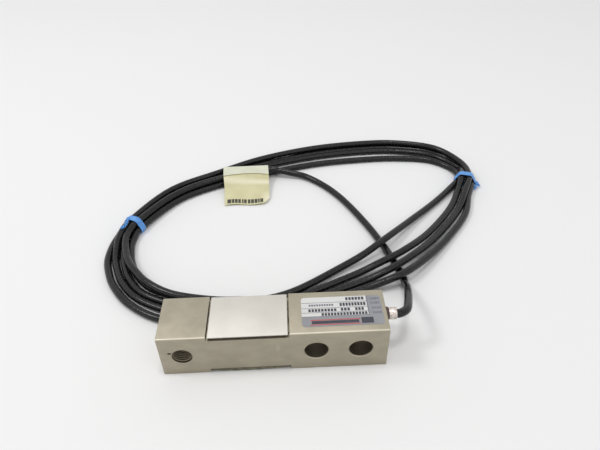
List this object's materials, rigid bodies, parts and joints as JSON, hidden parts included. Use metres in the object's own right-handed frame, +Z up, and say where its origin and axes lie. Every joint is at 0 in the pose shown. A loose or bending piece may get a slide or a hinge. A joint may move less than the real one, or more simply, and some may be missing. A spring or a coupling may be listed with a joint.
{
  "type": "shear beam load cell",
  "caption": "Square steel shear beam load cell with covered gauge recesses, bolt holes across it, a cable gland at one end and a coiled, tied cable.",
  "frame": {"origin": "centre of the beam's underside, on the surface it stands on", "axes": "+X along the beam towards the cable end, +Y from the camera's side to the coil's side, +Z up"},
  "size_m": [0.2994, 0.246, 0.0315],
  "materials": {
    "body": "satin nickel plate",
    "cover": "satin",
    "sealant": "matt",
    "foil": "satin film",
    "board": "matt",
    "resistor": "gloss",
    "wire_yellow": "satin",
    "wire_red": "satin",
    "wire_black": "satin",
    "wire_green": "satin",
    "wire_white": "satin",
    "nipple": "mottled satin",
    "washer": "matt",
    "label": "satin film",
    "jacket": "satin",
    "sleeve": "satin",
    "drain": "bright tinned",
    "tie": "satin",
    "tag": "matt"
  },
  "bodies": {
    "root": {"beam_body": "body", "upper_cover_plate": "cover", "lower_cover_plate": "cover", "upper_sealant_bed": "sealant", "lower_sealant_bead": "sealant", "upper_shear_gauge": "foil", "lower_shear_gauge": "foil", "upper_terminal_board": "board", "lower_terminal_board": "board", "balance_resistor": "resistor", "link_wire_one": "wire_yellow", "link_wire_two": "wire_yellow", "board_wire_red": "wire_red", "board_wire_black": "wire_black", "board_wire_green": "wire_green", "board_wire_white": "wire_white", "gland_nipple": "nipple", "gland_seal_washer": "washer", "data_label": "label", "cable_exit_run": "jacket", "cable_inner_run": "jacket", "cable_diagonal_run": "jacket", "cable_coil": "jacket", "cable_end_run": "jacket", "end_sleeve": "sleeve", "end_wire_red": "wire_red", "end_wire_black": "wire_black", "end_wire_green": "wire_green", "end_wire_white": "wire_white", "end_drain_wire": "drain", "left_tie": "tie", "right_tie": "tie", "flag_tag": "tag"}
  },
  "joints": []
}
